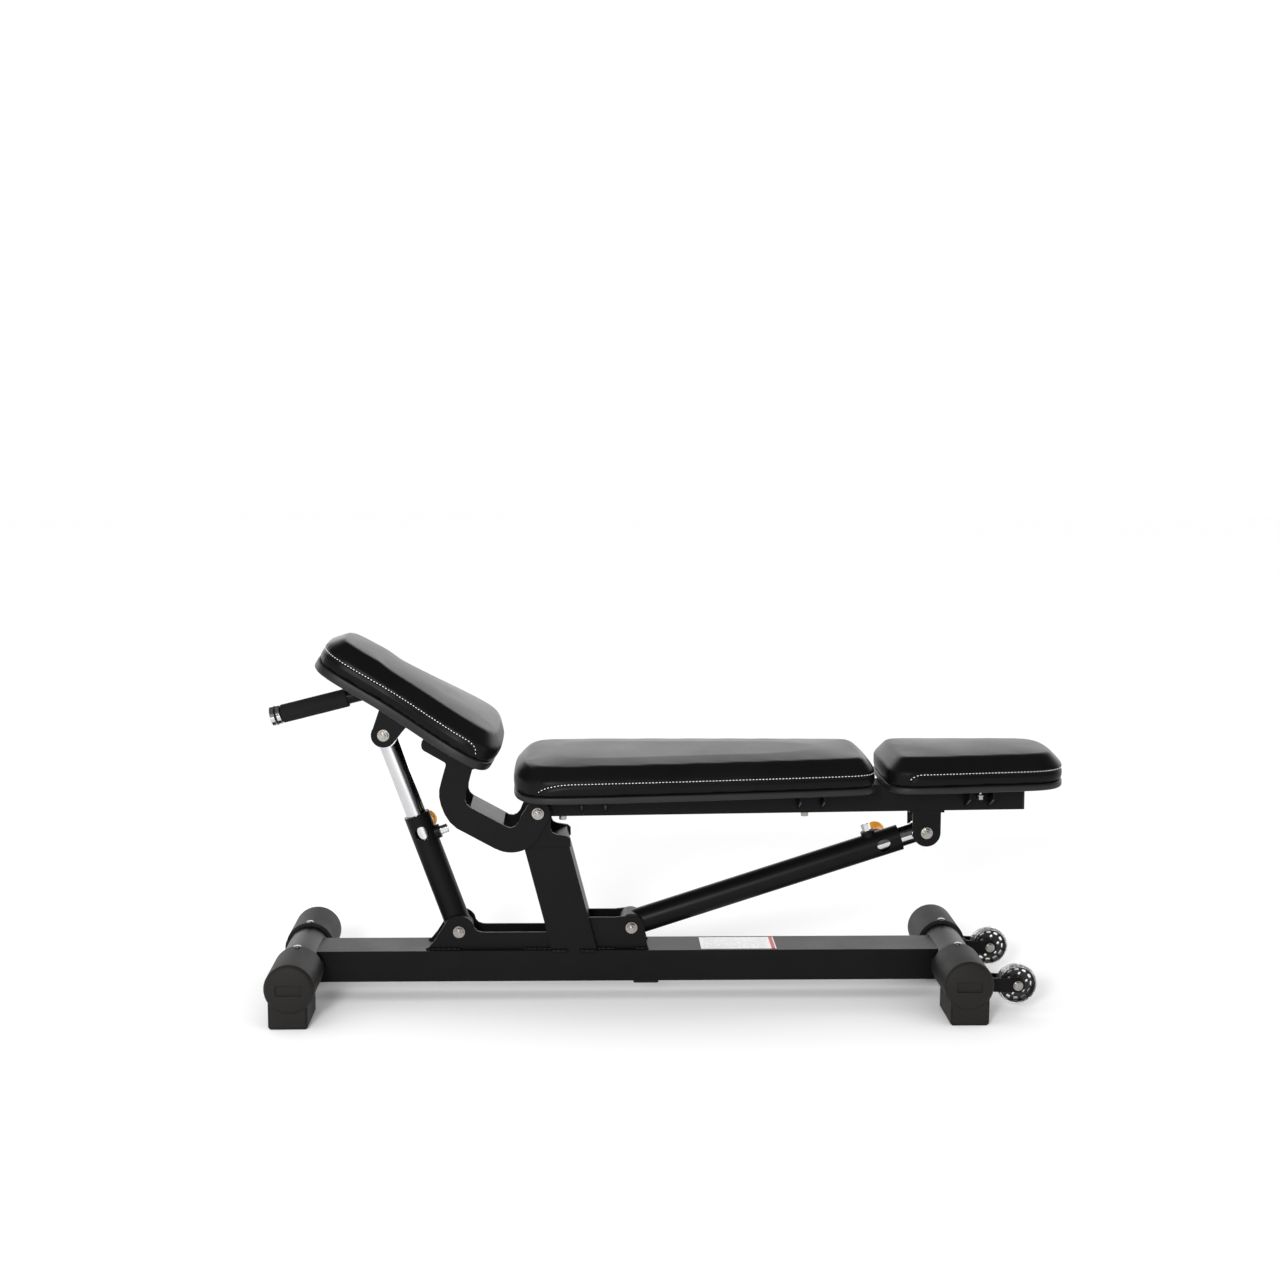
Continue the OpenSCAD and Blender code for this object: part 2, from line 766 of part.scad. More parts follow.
main_beam();
left_foot_tube();
right_foot_tube();
left_boots();
right_boots();
boot_screws();
post();
post_head_plates();
seat_strut_lugs();
back_strut_lugs();
beam_bumper();
beam_label();
wheel_forks();
wheel_axles();
strut_low_bolts();
main_pivot_bolt();
wheel_hub_near();
wheel_tyre_near();
wheel_bearings_near();
wheel_hub_far();
wheel_tyre_far();
wheel_bearings_far();
seat_lever_near();
seat_lever_far();
seat_lever_box();
seat_plate();
seat_strut_bracket();
seat_bracket_bolts();
handle_tube();
handle_grip();
handle_cap();
seat_pad_board();
seat_pad();
seat_pad_screws();
back_frame();
back_frame_bushing();
back_frame_cap();
pad_arms();
back_strut_bracket();
back_bracket_bolts();
back_pad_board();
back_pad();
head_pad_board();
head_pad();
pad_bolts();
seat_strut_outer();
seat_strut_bush();
seat_tension_bolt();
seat_strut_inner();
seat_pin();
seat_knob();
back_strut_outer();
back_strut_bush();
back_tension_bolt();
back_strut_inner();
back_pin();
back_knob();
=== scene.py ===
import json
import math
import bmesh
import bpy
from mathutils import Matrix, Vector
from mathutils.bvhtree import BVHTree
from mathutils.kdtree import KDTree


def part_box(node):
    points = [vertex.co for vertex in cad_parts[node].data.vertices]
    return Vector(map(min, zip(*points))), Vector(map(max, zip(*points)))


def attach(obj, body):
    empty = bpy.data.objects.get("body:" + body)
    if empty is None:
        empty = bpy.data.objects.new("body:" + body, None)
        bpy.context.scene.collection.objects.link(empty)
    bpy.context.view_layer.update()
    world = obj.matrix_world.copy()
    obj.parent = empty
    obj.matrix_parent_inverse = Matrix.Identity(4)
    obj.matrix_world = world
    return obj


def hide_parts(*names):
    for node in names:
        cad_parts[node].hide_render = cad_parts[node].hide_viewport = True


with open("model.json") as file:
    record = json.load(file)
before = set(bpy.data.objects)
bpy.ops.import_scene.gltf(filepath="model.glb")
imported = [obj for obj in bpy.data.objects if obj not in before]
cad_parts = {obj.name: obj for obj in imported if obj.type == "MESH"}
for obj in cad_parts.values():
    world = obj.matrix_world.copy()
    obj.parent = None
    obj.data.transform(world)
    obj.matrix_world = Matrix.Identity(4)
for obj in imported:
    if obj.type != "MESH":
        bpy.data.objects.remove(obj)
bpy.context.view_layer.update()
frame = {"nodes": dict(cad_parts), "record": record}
nodes = frame["nodes"]
scene = bpy.context.scene
print("frame loaded:", len(nodes), "nodes")

mm = 0.001
mainPivot = Vector((-236, 0, 361)) * mm
seatPlace = Matrix.Translation(mainPivot) @ Matrix.Rotation(math.radians(30), 4, "Y")
backPlace = Matrix.Translation(mainPivot) @ Matrix.Rotation(math.radians(-0.75), 4, "Y")


# shader groups, each used by several finishes

def newGroup(name, inputs, outputs):
    tree = bpy.data.node_groups.new(name, "ShaderNodeTree")
    for label, kind, value in inputs:
        socket = tree.interface.new_socket(label, in_out="INPUT", socket_type=kind)
        if value is not None:
            socket.default_value = value
    for label, kind in outputs:
        tree.interface.new_socket(label, in_out="OUTPUT", socket_type=kind)
    return tree, tree.nodes.new("NodeGroupInput"), tree.nodes.new("NodeGroupOutput")


def addNode(tree, kind, links=None, **settings):
    # settings are node properties, links maps an input to a socket or a plain value
    made = tree.nodes.new("ShaderNode" + kind)
    for key, value in settings.items():
        setattr(made, key, value)
    for key, value in (links or {}).items():
        if isinstance(value, bpy.types.NodeSocket):
            tree.links.new(value, made.inputs[key])
        else:
            made.inputs[key].default_value = value
    return made


def makeGrainGroup():
    # fine pitted grain: pebbles and their creases, as on vinyl, rubber or powder coat
    tree, start, end = newGroup("surfaceGrain", [("Scale", "NodeSocketFloat", 800.0),
        ("Crease", "NodeSocketFloat", 0.5)], [("Height", "NodeSocketFloat")])
    place = addNode(tree, "TexCoord")
    cells = addNode(tree, "TexVoronoi", {"Vector": place.outputs["Object"], "Scale": start.outputs["Scale"]},
        feature="DISTANCE_TO_EDGE")
    ramp = addNode(tree, "MapRange", {"Value": cells.outputs["Distance"], "From Max": 0.25})
    fineScale = addNode(tree, "Math", {0: start.outputs["Scale"], 1: 0.7}, operation="MULTIPLY")
    fine = addNode(tree, "TexNoise", {"Vector": place.outputs["Object"], "Scale": fineScale.outputs[0],
        "Detail": 3.0})
    mixed = addNode(tree, "Mix", {"Factor": start.outputs["Crease"], "A": fine.outputs["Fac"],
        "B": ramp.outputs["Result"]})
    tree.links.new(mixed.outputs["Result"], end.inputs["Height"])
    return tree


def makeBlotchGroup():
    # slow cloudy variation, for dust, handling marks and uneven sheen
    tree, start, end = newGroup("slowBlotches", [("Scale", "NodeSocketFloat", 12.0),
        ("Low", "NodeSocketFloat", 0.0), ("High", "NodeSocketFloat", 1.0)], [("Value", "NodeSocketFloat")])
    place = addNode(tree, "TexCoord")
    wide = addNode(tree, "TexNoise", {"Vector": place.outputs["Object"], "Scale": start.outputs["Scale"],
        "Detail": 5.0, "Roughness": 0.6})
    spread = addNode(tree, "MapRange", {"Value": wide.outputs["Fac"], "From Min": 0.3, "From Max": 0.7,
        "To Min": start.outputs["Low"], "To Max": start.outputs["High"]})
    tree.links.new(spread.outputs["Result"], end.inputs["Value"])
    return tree


def makeEdgeGroup():
    # worn edge mask: where the softened normal turns away from the face
    tree, start, end = newGroup("edgeWear", [("Radius", "NodeSocketFloat", 0.0015),
        ("Amount", "NodeSocketFloat", 0.5)], [("Mask", "NodeSocketFloat"), ("Normal", "NodeSocketVector")])
    rounded = addNode(tree, "Bevel", {"Radius": start.outputs["Radius"]}, samples=4)
    face = addNode(tree, "NewGeometry")
    turn = addNode(tree, "VectorMath", {0: rounded.outputs["Normal"], 1: face.outputs["Normal"]},
        operation="DOT_PRODUCT")
    away = addNode(tree, "MapRange", {"Value": turn.outputs["Value"], "From Min": 0.995, "From Max": 0.9})
    place = addNode(tree, "TexCoord")
    breaks = addNode(tree, "TexNoise", {"Vector": place.outputs["Object"], "Scale": 90.0, "Detail": 4.0})
    patchy = addNode(tree, "MapRange", {"Value": breaks.outputs["Fac"], "From Min": 0.42, "From Max": 0.62})
    both = addNode(tree, "Math", {0: away.outputs["Result"], 1: patchy.outputs["Result"]},
        operation="MULTIPLY")
    amount = addNode(tree, "Math", {0: both.outputs[0], 1: start.outputs["Amount"]}, operation="MULTIPLY")
    tree.links.new(amount.outputs[0], end.inputs["Mask"])
    tree.links.new(rounded.outputs["Normal"], end.inputs["Normal"])
    return tree


grainGroup = makeGrainGroup()
blotchGroup = makeBlotchGroup()
edgeGroup = makeEdgeGroup()


def useGroup(tree, group, **values):
    made = tree.nodes.new("ShaderNodeGroup")
    made.node_tree = group
    for key, value in values.items():
        made.inputs[key.capitalize()].default_value = value
    return made


def makeFinish(name, settings):
    # one coated, moulded or plated finish: blotched colour and roughness, grain bump, softened edges
    material = bpy.data.materials.new(name)
    material.use_nodes = True
    tree = material.node_tree
    shader = tree.nodes["Principled BSDF"]
    blotch = useGroup(tree, blotchGroup, scale=settings["blotchScale"])
    edge = useGroup(tree, edgeGroup, radius=settings["edgeRadius"], amount=settings["edgeWear"])
    colour = addNode(tree, "Mix", {"Factor": blotch.outputs["Value"]}, data_type="RGBA")
    colour.inputs["A"].default_value = (*settings["colour"], 1)
    colour.inputs["B"].default_value = (*settings["colourVaried"], 1)
    worn = addNode(tree, "Mix", {"Factor": edge.outputs["Mask"]}, data_type="RGBA")
    tree.links.new(colour.outputs["Result"], worn.inputs["A"])
    worn.inputs["B"].default_value = (*settings["edgeColour"], 1)
    tree.links.new(worn.outputs["Result"], shader.inputs["Base Color"])
    rough = addNode(tree, "MapRange", {"Value": blotch.outputs["Value"], "To Min": settings["roughness"],
        "To Max": settings["roughnessVaried"]})
    tree.links.new(rough.outputs["Result"], shader.inputs["Roughness"])
    grain = useGroup(tree, grainGroup, scale=settings["grainScale"], crease=settings["grainCrease"])
    bump = addNode(tree, "Bump", {"Strength": settings["bump"], "Distance": settings["bumpDepth"]})
    tree.links.new(grain.outputs["Height"], bump.inputs["Height"])
    tree.links.new(edge.outputs["Normal"], bump.inputs["Normal"])
    tree.links.new(bump.outputs["Normal"], shader.inputs["Normal"])
    shader.inputs["Metallic"].default_value = settings["metallic"]
    shader.inputs["Specular IOR Level"].default_value = settings["specular"]
    return material


def finish(**changes):
    base = {"colour": (0.003, 0.003, 0.0032), "colourVaried": (0.0045, 0.0045, 0.0047),
        "edgeColour": (0.02, 0.02, 0.021), "edgeWear": 0.35, "edgeRadius": 0.0012, "roughness": 0.36,
        "roughnessVaried": 0.43, "blotchScale": 9.0, "grainScale": 1400.0, "grainCrease": 0.2, "bump": 0.12,
        "bumpDepth": 0.0003, "metallic": 0.0, "specular": 0.1}
    base.update(changes)
    return base


materials = {
    "powder_black": makeFinish("powderCoat", finish()),
    "boot_rubber": makeFinish("bootRubber", finish(colour=(0.0078, 0.0069, 0.0063),
        colourVaried=(0.011, 0.0098, 0.009), edgeColour=(0.035, 0.033, 0.031), roughness=0.56,
        roughnessVaried=0.66, grainScale=900.0, grainCrease=0.45, bump=0.2, edgeRadius=0.0025, specular=0.2)),
    "bright_steel": makeFinish("brightSteel", finish(colour=(0.36, 0.34, 0.32),
        colourVaried=(0.28, 0.265, 0.25), edgeColour=(0.6, 0.59, 0.57), roughness=0.2, roughnessVaried=0.34,
        metallic=1.0, blotchScale=60.0, grainScale=2200.0, bump=0.05, edgeRadius=0.0007, specular=0.5)),
    "chrome": makeFinish("polishedChrome", finish(colour=(0.56, 0.56, 0.57), colourVaried=(0.5, 0.5, 0.51),
        edgeColour=(0.75, 0.75, 0.75), roughness=0.07, roughnessVaried=0.14, metallic=1.0, blotchScale=26.0,
        grainScale=300.0, grainCrease=0.0, bump=0.02, edgeRadius=0.0007, specular=0.5)),
    "hub_plastic": makeFinish("hubNylon", finish(colour=(0.006, 0.006, 0.006),
        colourVaried=(0.009, 0.009, 0.009), roughness=0.34, roughnessVaried=0.44, grainScale=1100.0,
        bump=0.08, specular=0.35)),
    "grip_foam": makeFinish("gripFoam", finish(colour=(0.005, 0.005, 0.0052),
        colourVaried=(0.009, 0.009, 0.009), roughness=0.75, roughnessVaried=0.85, grainScale=1500.0,
        grainCrease=0.7, bump=0.35, bumpDepth=0.0005, edgeRadius=0.002, specular=0.15)),
    "board_black": makeFinish("boardVinyl", finish(colour=(0.006, 0.006, 0.0063),
        colourVaried=(0.009, 0.009, 0.009), roughness=0.42, roughnessVaried=0.5, grainScale=1000.0,
        grainCrease=0.6, bump=0.15, specular=0.3)),
    "vinyl_black": makeFinish("padVinyl", finish(colour=(0.0034, 0.0033, 0.0033),
        colourVaried=(0.005, 0.0048, 0.0047), edgeWear=0.0, roughness=0.33, roughnessVaried=0.4,
        blotchScale=6.0, grainScale=1150.0, grainCrease=0.65, bump=0.14, bumpDepth=0.00022, specular=0.08)),
    "knob_orange": makeFinish("knobOrange", finish(colour=(1.0, 0.4, 0.004), colourVaried=(0.95, 0.35, 0.004),
        edgeColour=(1.0, 0.55, 0.05), roughness=0.28, roughnessVaried=0.36, bump=0.05, specular=0.4)),
}


def makeClearTyre():
    material = makeFinish("clearTyre", finish(colour=(0.95, 0.95, 0.94), colourVaried=(0.9, 0.9, 0.89),
        edgeColour=(0.9, 0.9, 0.9), edgeWear=0.0, roughness=0.04, roughnessVaried=0.12, blotchScale=40.0,
        bump=0.0, specular=0.5))
    shader = material.node_tree.nodes["Principled BSDF"]
    shader.inputs["Transmission Weight"].default_value = 0.92
    shader.inputs["IOR"].default_value = 1.49
    return material


label = {
    # bars: spacing across the label, width, start and end along it, how broken and how dark
    "pitch": 0.0046, "bar": 0.0016, "bars": (0.006, 0.126), "gapScale": 160.0, "gapShare": 0.45,
    "strength": 0.45, "barColour": (0.25, 0.25, 0.26, 1),
    "stripe": (0.132, 0.139), "stripeColour": (0.6, 0.02, 0.02, 1),
}


def makeLabelFilm(low):
    # white film with faint grey bars in rows and a red stripe near the wheel end; no words
    material = makeFinish("labelFilm", finish(colour=(0.9, 0.9, 0.9), colourVaried=(0.86, 0.86, 0.86),
        edgeColour=(0.7, 0.7, 0.7), roughness=0.4, roughnessVaried=0.5, bump=0.03, specular=0.5))
    tree = material.node_tree
    shader = tree.nodes["Principled BSDF"]
    place = addNode(tree, "TexCoord")
    shift = addNode(tree, "Mapping", {"Vector": place.outputs["Object"]})
    shift.inputs["Location"].default_value = (-low.x, -low.y, 0)
    axes = addNode(tree, "SeparateXYZ", {0: shift.outputs["Vector"]})
    along, across = axes.outputs["X"], axes.outputs["Y"]

    def band(value, start, end):
        above = addNode(tree, "Math", {0: value, 1: start}, operation="GREATER_THAN")
        below = addNode(tree, "Math", {0: value, 1: end}, operation="LESS_THAN")
        return addNode(tree, "Math", {0: above.outputs[0], 1: below.outputs[0]},
            operation="MULTIPLY").outputs[0]

    row = addNode(tree, "Math", {0: across, 1: label["pitch"]}, operation="MODULO")
    rows = band(row.outputs[0], 0.0, label["bar"])
    inside = band(along, *label["bars"])
    broken = addNode(tree, "TexNoise", {"Vector": place.outputs["Object"], "Scale": label["gapScale"],
        "Detail": 1.0})
    gaps = addNode(tree, "Math", {0: broken.outputs["Fac"], 1: label["gapShare"]}, operation="GREATER_THAN")
    bars = addNode(tree, "Math", {0: rows, 1: inside}, operation="MULTIPLY")
    bars = addNode(tree, "Math", {0: bars.outputs[0], 1: gaps.outputs[0]}, operation="MULTIPLY")
    bars = addNode(tree, "Math", {0: bars.outputs[0], 1: label["strength"]}, operation="MULTIPLY")
    stripe = band(along, *label["stripe"])
    base = shader.inputs["Base Color"].links[0].from_socket
    grey = addNode(tree, "Mix", {"Factor": bars.outputs[0]}, data_type="RGBA")
    tree.links.new(base, grey.inputs["A"])
    grey.inputs["B"].default_value = label["barColour"]
    red = addNode(tree, "Mix", {"Factor": stripe}, data_type="RGBA")
    tree.links.new(grey.outputs["Result"], red.inputs["A"])
    red.inputs["B"].default_value = label["stripeColour"]
    tree.links.new(red.outputs["Result"], shader.inputs["Base Color"])
    return material


materials["clear_tyre"] = makeClearTyre()
materials["label_white"] = makeLabelFilm(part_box("beam_label")[0])

slotOf = {row["node"]: row["material_slot"] for row in frame["record"]["subparts"]}
for name, node in nodes.items():
    node.data.materials.clear()
    node.data.materials.append(materials[slotOf[name]])
print("materials on every frame node")


# helpers for new pieces

def finishPiece(bm, name, material, body, smoothAngle=40):
    mesh = bpy.data.meshes.new(name)
    bm.to_mesh(mesh)
    bm.free()
    piece = bpy.data.objects.new(name, mesh)
    scene.collection.objects.link(piece)
    return dressPiece(piece, material, body, smoothAngle)


def dressPiece(piece, material, body, smoothAngle=40):
    piece.data.materials.clear()
    piece.data.materials.append(material)
    piece.data.shade_smooth()
    piece.data.set_sharp_from_angle(angle=math.radians(smoothAngle))
    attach(piece, body)
    return piece


def applyModifiers(piece):
    bpy.context.view_layer.update()
    graph = bpy.context.evaluated_depsgraph_get()
    made = bpy.data.meshes.new_from_object(piece.evaluated_get(graph), depsgraph=graph)
    old = piece.data
    piece.modifiers.clear()
    piece.data = made
    bpy.data.meshes.remove(old)


# cushions and their boards: half widths along the bench, and heights over the main pivot, in millimetres

seatPad = {
    "name": "seatCushion", "node": "seat_pad", "board": "seat_pad_board", "body": "seat", "place": seatPlace,
    "hipAtEnd": True,
    "half": [(-486, 30), (-481, 58), (-469, 80), (-448, 93), (-420, 99), (-380, 102), (-345, 106),
        (-300, 119), (-260, 134), (-220, 147), (-188, 153), (-162, 151), (-141, 138), (-127, 112), (-120, 75),
        (-118, 30)],
    "baseHeight": 37.0, "rim": 4.0, "seamHeight": 21.0, "seamRun": 25.0, "skip": 165.0, "cap": 4.0,
    "noseRaise": 4.0, "noseFrom": -345.0, "noseTo": -393.0,
}
backPad = {
    "name": "backCushion", "node": "back_pad", "board": "back_pad_board", "body": "back", "place": backPlace,
    "hipAtEnd": False,
    "half": [(-43, 30), (-41, 75), (-33, 112), (-16, 140), (10, 154), (45, 158), (120, 156), (240, 149),
        (360, 140), (470, 131), (560, 122), (592, 115), (608, 100), (615, 75), (617, 30)],
    "baseHeight": 39.0, "rim": 0.0, "seamHeight": 20.5, "seamRun": 65.0, "skip": 171.0, "cap": 4.0,
    "noseRaise": 0.0,
}
headPad = {
    "name": "headCushion", "node": "head_pad", "board": "head_pad_board", "body": "back", "place": backPlace,
    "hipAtEnd": False,
    "half": [(635, 30), (637, 78), (644, 100), (658, 113), (679, 118), (724, 117), (800, 111), (880, 105),
        (923, 98), (949, 82), (964, 55), (969, 20)],
    "baseHeight": 39.0, "rim": 0.0, "seamHeight": 20.5, "seamRun": 25.0, "skip": 136.0, "cap": 4.0,
    "noseRaise": 0.0,
}
padShape = {
    "board": 12.5, "boardRound": 3.2, "rimWide": 5.0, "outlineStep": 7, "boardStep": 8,
    "thick": 53.5, "lip": 1.6, "voxel": 5.5,
    # cover: how the cloth swells, the height held on the board, and the slopes of the held top edge
    "pressure": 4.0, "bending": 2.0, "quality": 4, "frames": 20,
    "heldLow": 4, "heldHigh": 0.8, "heldSlope": (0.75, 0.985),
    # steps of the side from the board up: how far in, how far up
    "steps": [(-1.6, 7), (0, 19), (1.2, 3), (10, 10.5), (10, 10.5), (3.6, 2.0)],
    # seam channel: depth, half height, and how near the seam a point has to be
    "seamDepth": 1.9, "seamHalf": 2.8, "seamReach": (9, 8), "seamStart": 1.5, "seamStep": 3,
}
stitch = {"pitch": 6.0, "length": 3.5, "wide": 1.5, "high": 0.6, "above": 3.2, "lift": 0.3}


def closedOutline(half, spacing):
    # an evenly spaced closed line through the half widths and their mirror image
    corners = [Vector((x, y)) for x, y in half] + [Vector((x, -y)) for x, y in reversed(half)]
    count = len(corners)
    dense = []
    for i in range(count):
        a, b, c, d = (corners[(i + k) % count] for k in (-1, 0, 1, 2))
        for step in range(12):
            t = step / 12
            dense.append(0.5 * (2 * b + (c - a) * t + (2 * a - 5 * b + 4 * c - d) * t * t
                + (3 * b - a - 3 * c + d) * t ** 3))
    return evenSpaced(dense, spacing, True)


def evenSpaced(points, spacing, closed):
    line = points + points[:1] if closed else points
    lengths = [0.0]
    for a, b in zip(line, line[1:]):
        lengths.append(lengths[-1] + (b - a).length)
    count = max(3, round(lengths[-1] / spacing))
    wanted = [lengths[-1] * i / count for i in range(count if closed else count + 1)]
    result, k = [], 0
    for w in wanted:
        while k < len(line) - 2 and lengths[k + 1] < w:
            k += 1
        share = (w - lengths[k]) / max(1e-9, lengths[k + 1] - lengths[k])
        result.append(line[k].lerp(line[k + 1], share))
    return result


def insetTop(bm, face, inset, rise):
    # draws the top in by inset and lifts it by rise, and returns the new top
    if inset:
        bmesh.ops.inset_region(bm, faces=[face], thickness=inset * mm, depth=0, use_even_offset=True,
            use_boundary=True)
    else:
        made = bmesh.ops.extrude_face_region(bm, geom=[face])
        bmesh.ops.delete(bm, geom=[face], context="FACES_KEEP_BOUNDARY")
        face = next(g for g in made["geom"] if isinstance(g, bmesh.types.BMFace))
    bmesh.ops.translate(bm, verts=face.verts, vec=(0, 0, rise * mm))
    return face


def outlineFace(bm, outline, height):
    verts = [bm.verts.new((p.x * mm, p.y * mm, height * mm)) for p in outline]
    return bm.faces.new(verts)


def makeCushion(pad):
    outline = closedOutline(pad["half"], padShape["outlineStep"])
    base = pad["baseHeight"] + padShape["board"]
    bm = bmesh.new()
    floorFace = outlineFace(bm, outline, base)
    if floorFace.normal.z < 0:
        floorFace.normal_flip()
    floorFace.normal_update()
    face = insetTop(bm, floorFace, padShape["lip"], 0)
    for inward, upward in padShape["steps"]:
        face = insetTop(bm, face, inward, upward)
    bmesh.ops.delete(bm,
        geom=[f for f in bm.faces if f is not face and f.calc_center_median().z < (base + 0.01) * mm],
        context="FACES_ONLY")
    bmesh.ops.contextual_create(bm, geom=[e for e in bm.edges if e.is_boundary])
    bmesh.ops.triangulate(bm, faces=[f for f in bm.faces if len(f.verts) > 4])
    bmesh.ops.recalc_face_normals(bm, faces=bm.faces)
    mesh = bpy.data.meshes.new(pad["name"])
    bm.to_mesh(mesh)
    bm.free()
    piece = bpy.data.objects.new(pad["name"], mesh)
    scene.collection.objects.link(piece)
    remesh = piece.modifiers.new("remesh", "REMESH")
    remesh.mode = "VOXEL"
    remesh.voxel_size = padShape["voxel"] * mm
    applyModifiers(piece)
    raiseNose(piece, pad, base)
    inflate(piece, pad, base)
    finer = piece.modifiers.new("finer", "SUBSURF")
    finer.levels = finer.render_levels = 1
    applyModifiers(piece)
    seam = seamLine(pad, outline, base)
    sewSeam(piece, seam)
    piece.data.transform(pad["place"])
    dressPiece(piece, materials["vinyl_black"], pad["body"], 80)
    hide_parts(pad["node"])
    makeStitches(piece, seam, pad)
    print(pad["name"], len(piece.data.vertices), "points")
    return piece


def raiseNose(piece, pad, base):
    # the narrow end stands a little higher, past a soft step
    if not pad["noseRaise"]:
        return
    for vert in piece.data.vertices:
        share = (vert.co.x / mm - pad["noseFrom"]) / (pad["noseTo"] - pad["noseFrom"])
        share = min(1.0, max(0.0, share))
        up = (vert.co.z / mm - base) / padShape["thick"]
        vert.co.z += pad["noseRaise"] * share * share * (3 - 2 * share) * max(0.0, up) * mm


def inflate(piece, pad, base):
    # the cover swells over its foam, held flat on the board and along the foam's top edge
    mesh = piece.data
    rest = [v.co.copy() for v in mesh.vertices]
    held = piece.vertex_groups.new(name="held")
    held.add([v.index for v in mesh.vertices if v.co.z < (base + padShape["heldLow"]) * mm], 1.0, "REPLACE")
    high = (base + padShape["thick"] * padShape["heldHigh"]) * mm
    steep, flat = padShape["heldSlope"]
    topEdge = [v.index for v in mesh.vertices if v.co.z > high and steep < v.normal.z < flat]
    held.add(topEdge, 1.0, "REPLACE")
    cloth = piece.modifiers.new("cloth", "CLOTH")
    cloth.settings.vertex_group_mass = "held"
    cloth.settings.use_pressure = True
    cloth.settings.uniform_pressure_force = padShape["pressure"]
    cloth.settings.effector_weights.gravity = 0
    cloth.settings.quality = padShape["quality"]
    cloth.settings.bending_stiffness = padShape["bending"]
    cloth.point_cache.frame_start, cloth.point_cache.frame_end = 1, padShape["frames"]
    for number in range(1, padShape["frames"] + 1):
        scene.frame_set(number)
    applyModifiers(piece)
    piece.vertex_groups.clear()
    most = pad["cap"] * mm
    for vert, start in zip(piece.data.vertices, rest):
        move = vert.co - start
        if move.length > most:
            vert.co = start + move * (most / move.length)
    scene.frame_set(1)


def seamLine(pad, outline, base):
    # starts low at one hip corner, rises, runs round the far end and drops at the other hip corner
    hipX = max(p.x for p in outline) if pad["hipAtEnd"] else min(p.x for p in outline)
    start = min(range(len(outline)), key=lambda i: abs(outline[i].x - hipX) * 1.0 + abs(outline[i].y) * 0.01)
    turned = outline[start:] + outline[:start]
    even = evenSpaced(turned, padShape["seamStep"], True)
    lengths, total = [], 0.0
    for a, b in zip(even, even[1:] + even[:1]):
        lengths.append(total)
        total += (b - a).length
    points = []
    for p, run in zip(even, lengths):
        edge = min(run, total - run) - pad["skip"]
        if edge < 0:
            continue
        t = min(1.0, edge / pad["seamRun"])
        rise = math.sqrt(max(0.0, 1 - (1 - t) ** 2))
        up = padShape["seamStart"] + (pad["seamHeight"] - padShape["seamStart"]) * rise
        points.append(Vector((p.x, p.y, base + up)) * mm)
    return points


def sewSeam(piece, seam):
    # presses a narrow channel along the seam
    tree = KDTree(len(seam))
    for i, p in enumerate(seam):
        tree.insert(p, i)
    tree.balance()
    sideReach, heightReach = padShape["seamReach"]
    for vert in piece.data.vertices:
        near, index, _ = tree.find(vert.co)
        if index in (0, len(seam) - 1):
            continue
        away = abs(vert.co.z - near.z)
        side = (Vector((vert.co.x - near.x, vert.co.y - near.y, 0))).length
        if side < sideReach * mm and away < heightReach * mm:
            depth = padShape["seamDepth"] * math.exp(-(away / (padShape["seamHalf"] * mm)) ** 2)
            vert.co -= vert.normal * depth * mm


def makeStitches(piece, seam, pad):
    # white thread, one short rounded stitch every few millimetres, lying on the cover
    tree = BVHTree.FromPolygons([v.co for v in piece.data.vertices],
        [p.vertices for p in piece.data.polygons])
    line = evenSpaced([p / mm for p in seam], stitch["pitch"], False)
    turn = pad["place"].to_3x3()
    bm = bmesh.new()
    for before, here, after in zip(line, line[1:], line[2:]):
        along = (after - before).normalized()
        up = Vector((0, 0, 1)).cross(along).cross(along) * -1
        spot = pad["place"] @ ((here + up.normalized() * stitch["above"]) * mm)
        found, normal, _, _ = tree.find_nearest(spot)
        if found is None:
            continue
        tangent = (turn @ along).normalized()
        normal = normal.normalized()
        side = normal.cross(tangent).normalized()
        tangent = side.cross(normal).normalized()
        basis = Matrix((tangent, side, normal)).transposed().to_4x4()
        place = Matrix.Translation(found + normal * stitch["lift"] * mm) @ basis
        made = bmesh.ops.create_uvsphere(bm, u_segments=6, v_segments=4, radius=1.0)
        bmesh.ops.rotate(bm, verts=made["verts"], cent=(0, 0, 0), matrix=Matrix.Rotation(math.pi / 2, 3, "Y"))
        bmesh.ops.scale(bm, verts=made["verts"], vec=(stitch["length"] / 2 * mm, stitch["wide"] / 2 * mm,
            stitch["high"] * mm))
        bmesh.ops.transform(bm, verts=made["verts"], matrix=place)
    finishPiece(bm, pad["name"] + "Stitches", threadMaterial, pad["body"], 80)


